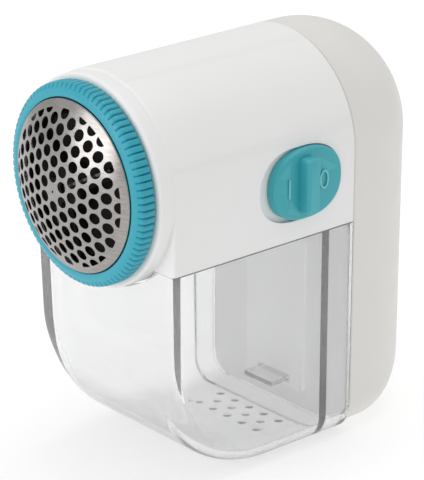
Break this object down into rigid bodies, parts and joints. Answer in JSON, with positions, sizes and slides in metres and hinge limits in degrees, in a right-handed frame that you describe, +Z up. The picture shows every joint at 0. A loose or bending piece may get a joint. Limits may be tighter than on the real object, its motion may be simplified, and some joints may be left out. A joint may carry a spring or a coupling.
{
  "type": "fabric shaver",
  "caption": "Handheld battery lint remover: domed perforated foil in a teal screw ring, white barrel housing, slide switch and a clear pull-off lint container.",
  "frame": {"origin": "on the flat underside of the lint container, below the middle of the body", "axes": "+Z up through the body, -Y out of the shaving head, +X through the slide switch"},
  "size_m": [0.0519, 0.0932, 0.0924],
  "materials": {
    "white_housing": "smooth satin white",
    "rear_housing": "smooth satin light grey",
    "clear_plastic": "clear moulded plastic",
    "teal_plastic": "satin teal",
    "foil_steel": "bright pressed steel foil",
    "blade_steel": "ground steel",
    "motor_steel": "zinc plated steel",
    "screw_steel": "zinc plated steel",
    "spring_steel": "nickel plated steel",
    "black_plastic": "matt black",
    "inner_plastic": "matt light grey",
    "ferrite": "dull dark grey",
    "copper": "enamelled copper and laminations",
    "brass": "plain",
    "cell_sleeve": "printed sleeve, plain here",
    "red_wire": "satin insulation",
    "yellow_wire": "satin insulation",
    "black_wire": "satin insulation"
  },
  "bodies": {
    "housing": {"front_housing": "white_housing", "rear_housing": "rear_housing", "motor_mount": "black_plastic", "motor_can": "motor_steel", "motor_end_cap": "black_plastic", "motor_magnet_left": "ferrite", "motor_magnet_right": "ferrite", "motor_tab_left": "brass", "motor_tab_right": "brass", "slide_switch_can": "motor_steel", "cell_left": "cell_sleeve", "cell_right": "cell_sleeve", "battery_cradle": "inner_plastic", "contact_bridge": "spring_steel", "contact_positive": "spring_steel", "contact_negative": "spring_steel", "bridge_spring": "spring_steel", "negative_spring": "spring_steel", "screw_left": "screw_steel", "screw_right": "screw_steel", "wire_battery_to_switch": "red_wire", "wire_switch_to_motor": "yellow_wire", "wire_battery_to_motor": "black_wire"},
    "rotor": {"motor_shaft": "motor_steel", "motor_armature": "copper", "drive_hub": "teal_plastic", "rotor_spring": "spring_steel", "blade_carrier": "black_plastic", "blade_1": "blade_steel", "blade_2": "blade_steel", "blade_3": "blade_steel"},
    "switch": {"switch_button": "teal_plastic", "switch_lever": "black_plastic"},
    "container": {"dust_container": "clear_plastic"},
    "foil_guard": {"foil_screen": "foil_steel"},
    "ring": {"guard_ring": "teal_plastic"},
    "door": {"battery_door": "rear_housing"}
  },
  "joints": [
    {"name": "rotor_spin", "type": "hinge", "parent": "housing", "child": "rotor", "pos_m": [0, -0.04, 0.0684], "axis": [0, 1, 0], "continuous": true},
    {"name": "switch_slide", "type": "slide", "parent": "housing", "child": "switch", "axis": [0, -1, 0], "range_m": [0, 0.0026]},
    {"name": "container_pull", "type": "slide", "parent": "housing", "child": "container", "axis": [0, -1, 0], "range_m": [0, 0.038]},
    {"name": "foil_pull", "type": "slide", "parent": "housing", "child": "foil_guard", "axis": [0, -1, 0], "range_m": [0, 0.022]},
    {"name": "ring_turn", "type": "hinge", "parent": "foil_guard", "child": "ring", "pos_m": [0, -0.0468, 0.0684], "axis": [0, 1, 0], "range_deg": [0, 40]},
    {"name": "door_pull", "type": "slide", "parent": "housing", "child": "door", "axis": [0, 1, 0], "range_m": [0, 0.02]}
  ]
}
